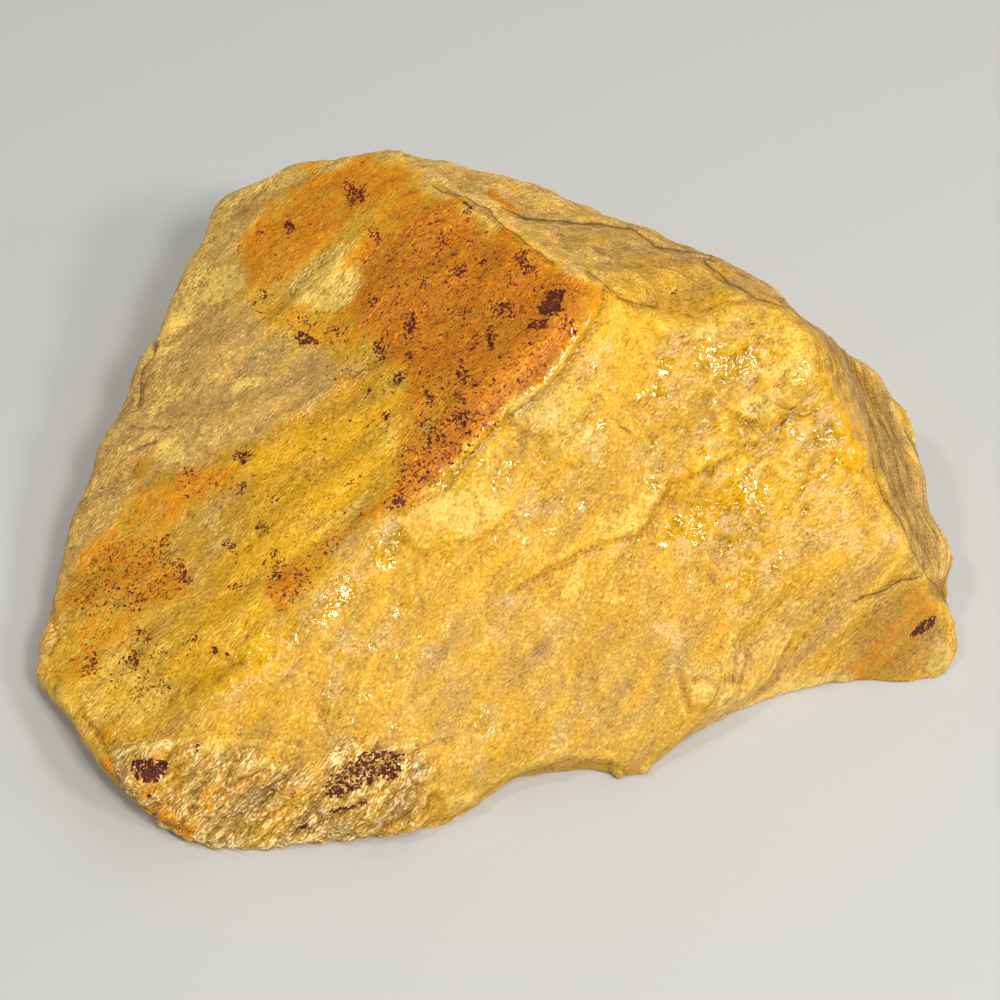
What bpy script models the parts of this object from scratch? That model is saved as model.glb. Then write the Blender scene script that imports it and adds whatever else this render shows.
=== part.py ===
"""Raw aventurine: one palm-sized lump of golden quartzite, as broken from its vein.

The lump came off its bed along natural fractures, and it is cut here in the same way. A rough block is
cleaved by named fracture planes, shallow chips are struck off it, and the fresh skin is weathered into
swells, hollows, foliation terraces and a lineated grain. It rests on one flat break at z = 0, with the
origin at the bottom centre of its box. All sizes below are in millimetres and all angles in degrees.
"""

import math

import bmesh
import bpy
from mathutils import Matrix, Vector, noise

MM = 0.001

# The block, and the point inside it that every fracture is measured from.
BLOCK_SIDE = 220.0
HEART = Vector((0.0, 0.0, 18.0))

# Stone left under the resting break until the last cut frees the lump from its bed.
BED_ALLOWANCE = 4.0

# How finely the chips' balls are divided, the mesh size that the skin is worked at, the share of the way that
# relaxing draws a point towards its neighbours, and the triangles that the skin is thinned to.
BALL_SUBDIVISIONS = 4
SKIN_VOXEL = 1.2
RELAX_SHARE = 0.5
TRIANGLE_BUDGET = 11200

# Fractures as (bearing, lean, distance): the bearing that the face looks along, counted from +X towards +Y,
# how far its outward direction leans from straight up, and its distance from the heart.
FRACTURES = {
    # The faces seen from above.
    "stained parting": (194.0, 23.5, 19.4),
    "wet face": (286.0, 37.0, 18.3),
    "foot": (273.0, 55.0, 35.7),
    "spur flank": (295.5, 55.7, 32.0),
    "right band": (356.0, 48.5, 46.3),
    "back band": (62.0, 21.0, 32.0),
    # Bevels broken along the rims of those faces.
    "left rim": (157.0, 54.0, 53.4),
    "top rim": (118.0, 50.0, 54.8),
    "hump corner": (20.0, 38.0, 44.0),
    # The steep sides, counter-clockwise from the spur.
    "spur end": (355.0, 95.0, 74.8),
    "right side": (4.0, 90.0, 70.4),
    "right shoulder": (24.0, 85.0, 63.0),
    "hump side": (36.0, 75.0, 56.2),
    "back right": (50.0, 68.0, 46.8),
    "back middle": (60.0, 62.0, 43.8),
    "back left": (68.0, 63.0, 45.2),
    "top end": (92.0, 70.0, 54.9),
    "top corner": (118.0, 75.0, 67.6),
    "left top": (150.0, 76.0, 66.6),
    "left middle": (162.0, 82.0, 60.2),
    "left low": (176.0, 87.0, 65.6),
    "left tip": (192.0, 97.0, 78.0),
    "foot corner": (214.0, 105.0, 74.0),
    "foot left": (232.0, 105.0, 73.3),
    "foot toe": (250.0, 105.0, 68.7),
    "front left": (280.0, 115.0, 53.0),
    "front middle": (291.0, 115.0, 52.6),
    "spur toe": (300.0, 105.0, 61.6),
    # The undercuts that lift the edges off the ground.
    "left belly": (228.0, 140.0, 58.8),
    "left heel": (182.0, 125.0, 64.6),
    "back belly": (70.0, 128.0, 44.0),
    "right belly": (20.0, 130.0, 55.4),
}

# Chips as (place, bearing, lean, width, depth): a shallow shell-shaped flake struck off at that place.
CHIPS = {
    "front bite": ((7.0, -51.0, 1.0), 286.0, 96.0, 34.0, 6.0),
    "spur bite": ((43.0, -37.3, 1.0), 291.0, 96.0, 46.0, 6.6),
    "spur notch": ((69.6, -16.0, 8.5), 354.0, 76.0, 11.0, 3.4),
    "flank scoop": ((46.0, -28.0, 9.0), 296.0, 56.0, 36.0, 2.6),
    "wet recess": ((33.0, -25.0, 18.5), 286.0, 37.0, 34.0, 2.0),
    "saddle": ((24.0, 12.0, 43.6), 10.0, 12.0, 25.0, 2.4),
    "left rim step": ((-60.0, 13.0, 15.5), 166.0, 48.0, 17.0, 1.5),
    "left side scar": ((-66.0, 5.0, 9.0), 170.0, 84.0, 22.0, 3.4),
    "left top scar": ((-51.5, 42.0, 8.0), 158.0, 82.0, 26.0, 2.6),
    "back scar": ((7.0, 49.5, 22.0), 67.0, 63.0, 34.0, 3.2),
    "back right scar": ((40.5, 32.0, 16.0), 50.0, 68.0, 30.0, 3.2),
    "back belly scar": ((20.0, 41.5, 5.0), 70.0, 128.0, 26.0, 2.2),
    "top end scar": ((-22.0, 59.2, 14.0), 94.0, 74.0, 26.0, 2.8),
    "right side scar": ((63.5, 6.5, 8.0), 20.0, 118.0, 22.0, 1.8),
    "belly scar": ((-58.5, -44.5, 2.2), 228.0, 140.0, 20.0, 1.4),
    "underside dish": ((-14.0, -16.0, 0.0), 0.0, 180.0, 44.0, 2.0),
    "underside flake": ((20.0, 8.0, 0.0), 0.0, 180.0, 36.0, 1.8),
    "underside edge flake": ((-30.0, 26.0, 0.0), 150.0, 172.0, 34.0, 2.2),
}

# Swells and hollows of the skin as (place, radius, height); a hollow's height is negative.
SWELLS = {
    "hump": ((46.0, 3.0, 32.0), 17.0, 1.5),
    "ridge lobe low": ((-4.3, -18.7, 28.3), 8.0, 0.8),
    "ridge lobe high": ((9.5, -4.9, 35.4), 7.0, 0.7),
    "flank lump": ((31.5, -34.5, 9.5), 6.5, 1.0),
    "spur": ((69.0, -27.0, 1.0), 9.0, 2.8),
    "foot knob": ((-50.0, -47.0, 10.0), 7.0, 0.7),
    "foot swell": ((-22.0, -50.0, 8.0), 9.0, 0.7),
    "parting dish": ((-30.0, 4.0, 27.0), 26.0, -0.8),
    "parting dimple": ((-42.0, -16.0, 18.0), 14.0, -0.6),
    "wet slope dish": ((0.0, -33.0, 17.5), 15.0, -0.7),
    "hump dimple": ((38.0, -4.0, 31.0), 6.0, -0.8),
}

# The rock's fabric: layers whose pole leans off the vertical, and a stretching direction within them.
LAYER_POLE_BEARING = 240.0
LAYER_POLE_LEAN = 33.0
STRETCH_BEARING = 45.0

# The weathered skin: broad undulation, layers that stand proud or back, terraces, and lineated grain, which
# shows less on a face that follows the layers.
BROAD_WAVELENGTH = 24.0
BROAD_HEIGHT = 0.9
PATCH_WAVELENGTH = 14.4
LAYER_THICKNESS = 5.5
LAYER_WANDER = 0.9
LAYER_HEIGHT = 1.5
LAYER_CONTRAST = 1.6
TERRACE_STRENGTH = 0.6
RISER_STEEPNESS = 3.5
GRAIN_LENGTH = 16.0
GRAIN_WIDTH = 5.0
GRAIN_HEIGHT = 1.1
GRAIN_ALONG_LAYERS = 0.35

# Where each noise is sampled from, so that no two follow one another, and its stride from layer to layer.
WANDER_SEED = Vector((5.1, 0.4, 2.2))
PATCH_SEED = Vector((1.7, 9.2, 3.3))
LAYER_SEED = Vector((0.0, 7.3, 1.9))
LAYER_STRIDE = Vector((3.71, 0.0, 0.0))

# The look of the plain solid.
STONE_COLOUR = (0.72, 0.44, 0.11, 1.0)
STONE_ROUGHNESS = 0.45


def facing(bearing, lean):
    """Return the unit direction with this bearing and this lean from straight up."""
    turn = math.radians(bearing)
    tip = math.radians(lean)
    return Vector((math.sin(tip) * math.cos(turn), math.sin(tip) * math.sin(turn), math.cos(tip)))


LAYER_POLE = facing(LAYER_POLE_BEARING, LAYER_POLE_LEAN)
STRETCH = facing(STRETCH_BEARING, 90.0)
STRETCH = (STRETCH - STRETCH.dot(LAYER_POLE) * LAYER_POLE).normalized()
CROSS_STRETCH = LAYER_POLE.cross(STRETCH)


def clear_scene():
    """Remove every object, so that the lump starts alone."""
    for old in list(bpy.data.objects):
        bpy.data.objects.remove(old, do_unlink=True)


def new_collection(name):
    """Make a collection under the scene."""
    group = bpy.data.collections.new(name)
    bpy.context.scene.collection.children.link(group)
    return group


def cleave(lump, plane_point, outward):
    """Split the lump along a plane, throw away the outer side, and close the break."""
    everything = lump.verts[:] + lump.edges[:] + lump.faces[:]
    cut = bmesh.ops.bisect_plane(
        lump, geom=everything, plane_co=plane_point, plane_no=outward, clear_outer=True
    )
    rim = [item for item in cut["geom_cut"] if isinstance(item, bmesh.types.BMEdge)]
    open_rim = [edge for edge in rim if edge.is_boundary]
    bmesh.ops.holes_fill(lump, edges=open_rim, sides=0)


def cleaved_block(group):
    """Cleave the rough block along every named fracture."""
    block = bmesh.new()
    bmesh.ops.create_cube(block, size=BLOCK_SIDE * MM)
    for bearing, lean, distance in FRACTURES.values():
        outward = facing(bearing, lean)
        cleave(block, (HEART + distance * outward) * MM, outward)
    cleave(block, Vector((0.0, 0.0, -BED_ALLOWANCE * MM)), Vector((0.0, 0.0, -1.0)))
    mesh = bpy.data.meshes.new("aventurine_block")
    block.to_mesh(mesh)
    block.free()
    stone = bpy.data.objects.new("aventurine_stone", mesh)
    group.objects.link(stone)
    return stone


def new_cutter(name, group, shape):
    """Keep a shape as a hidden cutter."""
    mesh = bpy.data.meshes.new(name)
    shape.to_mesh(mesh)
    shape.free()
    cutter = bpy.data.objects.new(name, mesh)
    cutter.hide_render = True
    cutter.display_type = "WIRE"
    group.objects.link(cutter)
    return cutter


def chip_cutter(name, group, place, bearing, lean, width, depth):
    """Make the ball whose cap is the chip: it meets the face in a circle of the chip's width."""
    radius = (width * width / 4 + depth * depth) / (2 * depth)
    centre = Vector(place) + (radius - depth) * facing(bearing, lean)
    ball = bmesh.new()
    to_place = Matrix.Translation(centre * MM)
    bmesh.ops.create_icosphere(
        ball, subdivisions=BALL_SUBDIVISIONS, radius=radius * MM, matrix=to_place
    )
    return new_cutter(name, group, ball)


def strike_with(stone, cutter):
    """Take a cutter's shape away from the stone."""
    strike = stone.modifiers.new(cutter.name, "BOOLEAN")
    strike.operation = "DIFFERENCE"
    strike.solver = "EXACT"
    strike.object = cutter


def strike_chips(stone, group):
    """Strike every named chip off the stone."""
    for name, (place, bearing, lean, width, depth) in CHIPS.items():
        strike_with(stone, chip_cutter(name.replace(" ", "_"), group, place, bearing, lean, width, depth))


def bake_modifiers(stone):
    """Replace the stone's mesh by what its modifiers make of it."""
    depsgraph = bpy.context.evaluated_depsgraph_get()
    worked = bpy.data.meshes.new_from_object(stone.evaluated_get(depsgraph))
    stone.modifiers.clear()
    stone.data = worked


def smooth_fall(distance, radius):
    """Fall from one at the middle to nothing at the radius, level at both ends."""
    if distance >= radius:
        return 0.0
    return (1 - (distance / radius) ** 2) ** 2


def soft_step(fraction):
    """Turn a steady climb from 0 to 1 into a tread, a quick riser and a tread."""
    steep = min(max((fraction - 0.5) * RISER_STEEPNESS + 0.5, 0.0), 1.0)
    return steep * steep * (3 - 2 * steep)


def layer_height(layer):
    """Return how far a layer stands proud, the same all along it, from about -1 to 1."""
    return LAYER_CONTRAST * noise.noise(layer * LAYER_STRIDE + LAYER_SEED)


def weather(place, outward):
    """Move one point of the fresh skin to where weathering leaves it."""
    along = place.dot(STRETCH)
    across = place.dot(CROSS_STRETCH)
    wander = LAYER_WANDER * noise.noise(place / BROAD_WAVELENGTH + WANDER_SEED)
    level = place.dot(LAYER_POLE) / LAYER_THICKNESS + wander
    layer = math.floor(level)
    riser = soft_step(level - layer)
    edge_on = outward.cross(LAYER_POLE).length

    swell = BROAD_HEIGHT * noise.noise(place / BROAD_WAVELENGTH)
    for centre, radius, height in SWELLS.values():
        swell += height * smooth_fall((place - Vector(centre)).length, radius)
    proud = layer_height(layer) * (1 - riser) + layer_height(layer + 1) * riser
    patchy = 0.5 + 0.5 * noise.noise(place / PATCH_WAVELENGTH + PATCH_SEED)
    swell += LAYER_HEIGHT * proud * patchy * edge_on ** 2
    grain_place = Vector((along / GRAIN_LENGTH, across / GRAIN_WIDTH, level))
    grain_strength = GRAIN_ALONG_LAYERS + (1 - GRAIN_ALONG_LAYERS) * edge_on
    swell += GRAIN_HEIGHT * noise.noise(grain_place) * grain_strength

    to_tread = (riser - (level - layer)) * LAYER_THICKNESS * TERRACE_STRENGTH * patchy * (1 - edge_on)
    return place + swell * outward + to_tread * LAYER_POLE


def relax(skin):
    """Draw every point of the skin part of the way to its neighbours' middle."""
    bmesh.ops.smooth_vert(
        skin, verts=skin.verts, factor=RELAX_SHARE, use_axis_x=True, use_axis_y=True, use_axis_z=True
    )
    skin.normal_update()


def weather_skin(stone):
    """Relax the voxel steps, weather every point of the skin, and take off the last sharp burrs."""
    skin = bmesh.new()
    skin.from_mesh(stone.data)
    relax(skin)
    weathered = [weather(vert.co / MM, vert.normal) * MM for vert in skin.verts]
    for vert, place in zip(skin.verts, weathered):
        vert.co = place
    relax(skin)
    skin.to_mesh(stone.data)
    skin.free()


def thin_skin(stone):
    """Collapse the skin to the triangle budget, which keeps the ridges crisp."""
    triangles = sum(len(face.vertices) - 2 for face in stone.data.polygons)
    thin = stone.modifiers.new("thin", "DECIMATE")
    thin.decimate_type = "COLLAPSE"
    thin.use_collapse_triangulate = True
    thin.ratio = TRIANGLE_BUDGET / triangles
    bake_modifiers(stone)


def free_from_bed(stone, group):
    """Cut the flat resting break at z = 0 with the bed's own block."""
    below = Matrix.Translation((0.0, 0.0, -BLOCK_SIDE / 2 * MM))
    block = bmesh.new()
    bmesh.ops.create_cube(block, size=BLOCK_SIDE * MM, matrix=below)
    strike_with(stone, new_cutter("bed", group, block))
    bake_modifiers(stone)


def centre_over_origin(stone, group):
    """Bring the bottom centre of the stone's box to the origin, and its cutters with it."""
    xs = [vert.co.x for vert in stone.data.vertices]
    ys = [vert.co.y for vert in stone.data.vertices]
    middle = Vector(((min(xs) + max(xs)) / 2, (min(ys) + max(ys)) / 2, 0.0))
    stone.data.transform(Matrix.Translation(-middle))
    for cutter in group.objects:
        cutter.location -= middle


def stone_material():
    """Make the honey-gold, slightly waxy look of the solid."""
    material = bpy.data.materials.new("aventurine")
    material.use_nodes = True
    shader = material.node_tree.nodes["Principled BSDF"]
    shader.inputs["Base Color"].default_value = STONE_COLOUR
    shader.inputs["Roughness"].default_value = STONE_ROUGHNESS
    shader.inputs["Metallic"].default_value = 0.0
    return material


def build_stone():
    """Build the lump from block to finished solid."""
    stone_group = new_collection("raw_aventurine")
    cutter_group = new_collection("cutters")
    stone = cleaved_block(stone_group)
    strike_chips(stone, cutter_group)
    skin = stone.modifiers.new("skin", "REMESH")
    skin.mode = "VOXEL"
    skin.voxel_size = SKIN_VOXEL * MM
    bake_modifiers(stone)
    weather_skin(stone)
    thin_skin(stone)
    free_from_bed(stone, cutter_group)
    centre_over_origin(stone, cutter_group)
    stone.data.materials.clear()
    stone.data.materials.append(stone_material())


clear_scene()
build_stone()
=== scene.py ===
"""Raw aventurine: the finished look of one palm-sized lump of golden quartzite on a plain pale floor.

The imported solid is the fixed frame. The lump is one piece, so there is one section for it, which carries the
skin, the relief, the stains and the material in the order in which they are worked. The sighting comes first,
because every marking is laid out from it, and the floor and the lights come last. Lengths are in millimetres
and angles in degrees unless a name says otherwise.
"""

import math

import bpy
import numpy as np
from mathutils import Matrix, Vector, noise


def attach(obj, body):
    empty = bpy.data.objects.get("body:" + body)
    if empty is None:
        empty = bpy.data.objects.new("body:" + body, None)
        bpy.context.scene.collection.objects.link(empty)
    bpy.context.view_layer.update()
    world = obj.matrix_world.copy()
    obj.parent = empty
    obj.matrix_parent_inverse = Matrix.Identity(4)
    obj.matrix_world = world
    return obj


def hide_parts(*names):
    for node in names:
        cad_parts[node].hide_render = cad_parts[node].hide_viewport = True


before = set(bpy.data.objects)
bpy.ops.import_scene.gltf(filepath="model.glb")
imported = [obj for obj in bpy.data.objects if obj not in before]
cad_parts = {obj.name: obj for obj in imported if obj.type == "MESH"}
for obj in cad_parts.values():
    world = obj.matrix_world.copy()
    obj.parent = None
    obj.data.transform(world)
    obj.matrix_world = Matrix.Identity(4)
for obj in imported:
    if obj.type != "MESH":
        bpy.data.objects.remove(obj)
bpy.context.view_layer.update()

MM = 0.001


# ---------------------------------------------------------------------------------------------- the sighting
# The stone is looked at from one point, down on to its two broad faces. A square sighting plate stands across
# that line at the stone's middle, and markings are laid out on it in plate units, x to the right and y down.
SIGHT_TARGET = Vector((-0.4, -9.1, 18.0))
SIGHT_ELEVATION = 52.0
SIGHT_DISTANCE = 360.0
PLATE_WIDTH = 151.2
PLATE_UNITS = 1000.0
SENSOR_WIDTH = 36.0

sight_tilt = math.radians(SIGHT_ELEVATION)
SIGHT_LINE = Vector((0.0, math.cos(sight_tilt), -math.sin(sight_tilt)))
SIGHT_UP = Vector((0.0, math.sin(sight_tilt), math.cos(sight_tilt)))
SIGHT_POINT = SIGHT_TARGET - SIGHT_DISTANCE * SIGHT_LINE
UNIT_MM = PLATE_WIDTH / PLATE_UNITS

bpy.ops.object.select_all(action="DESELECT")
bpy.ops.object.camera_add(location=SIGHT_POINT * MM, rotation=(math.pi / 2 - sight_tilt, 0.0, 0.0))
camera = bpy.context.object
camera.name = "sighting_camera"
camera.data.sensor_width = SENSOR_WIDTH
camera.data.lens = SENSOR_WIDTH * SIGHT_DISTANCE / PLATE_WIDTH
camera.data.clip_start = 0.01
bpy.context.scene.camera = camera


# ------------------------------------------------------------------------------------------------- the stone
# One lump of golden quartzite, broken from its vein along natural fractures. Iron has stained its old parting
# orange and maroon, water still wets its ridge and its fresh faces, and fine layers run through all of it.

# The skin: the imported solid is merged, rebuilt in even cells and relaxed until its flats are gone.
SKIN_MERGE = 0.001
SKIN_VOXEL = 0.60
SKIN_RELAX = 0.5
SKIN_RELAX_STEPS = 14

bpy.ops.object.select_all(action="DESELECT")
stone = bpy.data.objects.new("raw_aventurine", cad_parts["aventurine_stone"].data.copy())
bpy.context.scene.collection.objects.link(stone)
stone.select_set(True)
bpy.context.view_layer.objects.active = stone
bpy.ops.object.mode_set(mode="EDIT")
bpy.ops.mesh.select_all(action="SELECT")
bpy.ops.mesh.remove_doubles(threshold=SKIN_MERGE * MM)
bpy.ops.object.mode_set(mode="OBJECT")

even = stone.modifiers.new("even", "REMESH")
even.mode = "VOXEL"
even.voxel_size = SKIN_VOXEL * MM
bpy.ops.object.modifier_apply(modifier="even")
soften = stone.modifiers.new("soften", "SMOOTH")
soften.factor = SKIN_RELAX
soften.iterations = SKIN_RELAX_STEPS
bpy.ops.object.modifier_apply(modifier="soften")

# The rock's fabric: layers whose pole leans off the vertical, and a stretching direction within them.
LAYER_POLE_BEARING = 240.0
LAYER_POLE_LEAN = 33.0
STRETCH_BEARING = 45.0


def facing(bearing, lean):
    """Return the unit direction with this bearing from +X and this lean from straight up."""
    turn = math.radians(bearing)
    tip = math.radians(lean)
    return Vector((math.sin(tip) * math.cos(turn), math.sin(tip) * math.sin(turn), math.cos(tip)))


LAYER_POLE = facing(LAYER_POLE_BEARING, LAYER_POLE_LEAN)
STRETCH = facing(STRETCH_BEARING, 90.0)
STRETCH = (STRETCH - STRETCH.dot(LAYER_POLE) * LAYER_POLE).normalized()
CROSS_STRETCH = LAYER_POLE.cross(STRETCH)
FABRIC = np.array([STRETCH, CROSS_STRETCH, LAYER_POLE])


def read_skin():
    """Return every point of the skin in millimetres, and its outward direction."""
    count = len(stone.data.vertices)
    points = np.empty(count * 3)
    outward = np.empty(count * 3)
    stone.data.vertices.foreach_get("co", points)
    stone.data.vertices.foreach_get("normal", outward)
    return points.reshape(count, 3) / MM, outward.reshape(count, 3)


def write_skin(points):
    """Move every point of the skin to these places in millimetres."""
    stone.data.vertices.foreach_set("co", (points * MM).ravel())
    stone.data.update()


# The noise seldom passes 0.6 either way, so a gain brings it to about -1 to 1.
NOISE_GAIN = 1.6


def ripple(points, sizes, seed):
    """Return noise from about -1 to 1 at each point, in lumps of one size or three in millimetres."""
    scaled = points / np.array(sizes) + seed
    return np.array([noise.noise(place) for place in scaled.tolist()]) * NOISE_GAIN


def smooth_step(value, low, high):
    """Climb smoothly from 0 at low to 1 at high."""
    share = np.clip((value - low) / (high - low), 0.0, 1.0)
    return share * share * (3 - 2 * share)


# A point counts as seen once its skin turns this far towards the sighting point, from not at all to fully.
SEEN_TURN = (-0.05, 0.12)


def on_plate(points, outward):
    """Return where the lines of sight through the points cross the plate, and how far each point is seen."""
    offset = points - np.array(SIGHT_POINT)
    depth = offset @ np.array(SIGHT_LINE)
    spread = SIGHT_DISTANCE / depth / UNIT_MM
    x = PLATE_UNITS / 2 + offset[:, 0] * spread
    y = PLATE_UNITS / 2 - (offset @ np.array(SIGHT_UP)) * spread
    towards = -offset / np.linalg.norm(offset, axis=1)[:, None]
    seen = smooth_step((towards * outward).sum(axis=1), *SEEN_TURN)
    return x, y, seen


def inside_outline(outline, x, y):
    """Return how far each plate point lies inside a closed outline, in millimetres, negative outside."""
    nearest = np.full(x.shape, np.inf)
    inside = np.zeros(x.shape, bool)
    for (x0, y0), (x1, y1) in zip(outline, outline[1:] + outline[:1]):
        dx = x1 - x0
        dy = y1 - y0
        share = np.clip(((x - x0) * dx + (y - y0) * dy) / (dx * dx + dy * dy), 0.0, 1.0)
        nearest = np.minimum(nearest, np.hypot(x - x0 - share * dx, y - y0 - share * dy))
        slope = dx / dy if dy else 0.0
        inside ^= ((y0 > y) != (y1 > y)) & (x < x0 + (y - y0) * slope)
    return np.where(inside, nearest, -nearest) * UNIT_MM


def beside_path(path, x, y):
    """Return each plate point's distance from an open path and its side, positive on the left, in mm."""
    nearest = np.full(x.shape, np.inf)
    side = np.ones(x.shape)
    for (x0, y0), (x1, y1) in zip(path, path[1:]):
        dx = x1 - x0
        dy = y1 - y0
        share = np.clip(((x - x0) * dx + (y - y0) * dy) / (dx * dx + dy * dy), 0.0, 1.0)
        away = np.hypot(x - x0 - share * dx, y - y0 - share * dy)
        closer = away < nearest
        nearest = np.where(closer, away, nearest)
        side = np.where(closer, np.sign(dy * (x - x0) - dx * (y - y0)), side)
    return nearest * UNIT_MM, side


# Cracks as (depth, darkness, path): thin grooves where layers part. The skin takes a share of a crack's depth
# as a groove, and the rest of it is the dark line in the material.
GROOVE_HALF_WIDTH = 0.5
GROOVE_SHARE = 0.7
CRACKS = {
    "left rim crack": (0.45, 0.60, [(155, 343), (155, 358), (143, 373), (141, 389), (140, 405)]),
    "left low crack": (0.35, 0.55, [(155, 441), (132, 453), (118, 467)]),
    "left seam": (0.25, 0.35, [(124, 422), (142, 427), (162, 428), (188, 424)]),
    "left tip crack": (0.35, 0.45, [(50, 606), (56, 622), (58, 640), (50, 655)]),
    "rim seam": (0.50, 0.65, [(437, 184), (465, 201), (488, 212), (503, 229), (526, 247), (552, 262)]),
    "back seam": (0.55, 0.75, [
        (500, 207), (526, 217), (564, 222), (600, 223), (628, 228), (663, 249), (692, 255), (713, 258),
    ]),
    "saddle seam": (0.45, 0.60, [(587, 270), (604, 283), (618, 297), (637, 304), (655, 305)]),
    "band seam": (0.50, 0.70, [
        (703, 262), (715, 272), (729, 283), (744, 287), (755, 297), (768, 303), (785, 308),
    ]),
    "hump crack": (0.35, 0.50, [(776, 402), (791, 409), (803, 413), (813, 411)]),
    "hump slit": (0.35, 0.55, [(762, 438), (775, 430), (789, 420), (800, 417)]),
    "lobe crack": (0.20, 0.32, [(508, 407), (510, 419), (522, 430), (524, 446), (521, 462)]),
    "lobe side crack": (0.22, 0.30, [(488, 427), (497, 443), (511, 453)]),
    "slope crack": (0.15, 0.28, [(415, 563), (417, 585), (423, 605), (425, 622)]),
    "crevice": (0.40, 0.60, [(620, 426), (628, 432)]),
    "leaf line": (0.35, 0.55, [
        (868, 452), (874, 476), (884, 500), (896, 520), (907, 538), (917, 556), (928, 574), (938, 592),
    ]),
    "band line": (0.20, 0.45, [(800, 312), (818, 332), (836, 356), (850, 378), (864, 402), (872, 424)]),
    "band line outer": (0.20, 0.40, [
        (812, 318), (832, 340), (852, 364), (868, 388), (880, 412), (888, 440), (896, 470), (906, 500),
    ]),
    "flank crack": (0.35, 0.75, [(855, 601), (880, 593), (899, 580), (917, 575)]),
    "flank scarp": (0.50, 0.25, [(681, 672), (683, 685), (685, 697), (690, 710)]),
    "parting seam": (0.22, 0.45, [(349, 381), (363, 370), (382, 362)]),
    "foot seam": (0.22, 0.30, [(404, 754), (425, 745), (452, 736)]),
    "foot strip": (0.40, 0.40, [(84, 716), (98, 736), (110, 758), (124, 792), (150, 815), (190, 834)]),
}

# Ledges as (height, reach, path): the left-hand side of the path stands above the right-hand side, and the
# step is as wide as its edge is worn.
LEDGE_WEAR = 0.35
LEDGES = {
    "ridge lip": (1.0, 1.8, [
        (400, 508), (439, 488), (466, 456), (488, 431), (512, 410), (544, 388), (561, 370), (576, 346),
        (594, 320), (602, 292),
    ]),
    "pale lobe": (0.35, 3.5, [
        (402, 527), (413, 543), (423, 551), (434, 545), (445, 541), (457, 539), (478, 538), (493, 529),
        (506, 513),
    ]),
    "upper lobe": (0.25, 3.0, [(508, 408), (520, 430), (540, 434), (560, 433), (578, 420), (590, 400)]),
    "long ledge": (0.60, 5.0, [
        (540, 572), (569, 555), (590, 545), (614, 538), (636, 534), (649, 521), (651, 508), (662, 495),
        (668, 482), (694, 473), (715, 462),
    ]),
    "hump nodule": (0.45, 2.5, [(735, 412), (747, 420), (760, 425), (773, 422), (789, 410)]),
    "hump shelf": (0.40, 3.0, [(718, 425), (724, 440), (745, 444), (770, 440)]),
    "back ledge": (0.45, 2.5, [
        (713, 258), (692, 255), (663, 249), (628, 228), (600, 223), (564, 222), (526, 217),
    ]),
    "parting step": (0.22, 4.0, [(430, 330), (400, 352), (363, 371), (330, 388), (300, 405)]),
    "upper parting step": (0.20, 3.0, [(400, 200), (370, 212), (345, 222), (320, 232)]),
    "foot lip": (0.40, 2.5, [(290, 745), (255, 738), (220, 736), (190, 738), (160, 736), (124, 748)]),
    "right ledge": (0.50, 2.5, [(925, 560), (905, 520), (885, 480), (868, 450)]),
    "right upper ledge": (0.35, 2.0, [(905, 470), (885, 425), (868, 395), (840, 360), (812, 335)]),
}

# Lumps and hollows as (x, y, radius, height), with a negative height for a hollow.
LUMPS = {
    "left tip": (36, 638, 5.0, 0.9),
    "foot flake": (472, 799, 2.2, 0.5),
    "toe hollow": (440, 818, 5.0, -0.9),
    "nub left": (618, 773, 1.1, 0.8),
    "nub right": (645, 769, 1.2, 0.6),
    "flake": (724, 724, 1.5, 0.7),
    "flank lump left": (703, 692, 2.4, 0.55),
    "flank lump right": (728, 690, 2.0, 0.45),
    "spur knob": (950, 648, 3.5, 0.6),
    "spur notch": (940, 590, 2.6, -0.9),
    "boulder": (856, 452, 3.4, 0.6),
    "boulder above": (846, 418, 3.0, 0.5),
    "hump knob": (700, 330, 3.2, 0.4),
    "hump pebble": (657, 325, 1.3, 0.4),
    "wet pebble": (745, 595, 1.2, 0.4),
    "ridge pebble": (560, 578, 2.0, 0.3),
    "lobe": (450, 513, 7.0, 0.3),
    "apex hollow": (640, 345, 5.0, -0.3),
    "recess": (690, 510, 6.0, -0.5),
}

# Regions that carry a relief of their own, as (level, softness, outline), painted in this order.
FOOT_GROUND = [
    (112, 752), (150, 741), (190, 741), (253, 750), (300, 768), (350, 742), (405, 742), (440, 760),
    (420, 835), (300, 860), (190, 855), (120, 800),
]
HUMP_GROUND = [
    (655, 300), (720, 285), (780, 305), (850, 370), (880, 430), (885, 480), (850, 520), (800, 560),
    (740, 575), (680, 555), (650, 500), (640, 430), (635, 360),
]
STAIN_LOBE = [
    (319, 305), (301, 298), (300, 288), (320, 264), (345, 247), (356, 250), (357, 262), (346, 283),
    (351, 292), (336, 304),
]
RIGHT_BAND = [
    (795, 300), (860, 350), (900, 410), (950, 500), (960, 580), (935, 585), (900, 535), (880, 480),
    (860, 425), (825, 360),
]
COARSE_RIBS = {
    "foot": (1.0, 1.6, FOOT_GROUND),
}
KNOBS = {
    "hump": (1.0, 4.0, HUMP_GROUND),
    "ridge": (0.6, 2.0, [
        (590, 318), (570, 350), (520, 410), (440, 490), (370, 560), (270, 655), (190, 715), (170, 700),
        (250, 630), (340, 545), (425, 475), (505, 400), (560, 350),
    ]),
}
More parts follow.
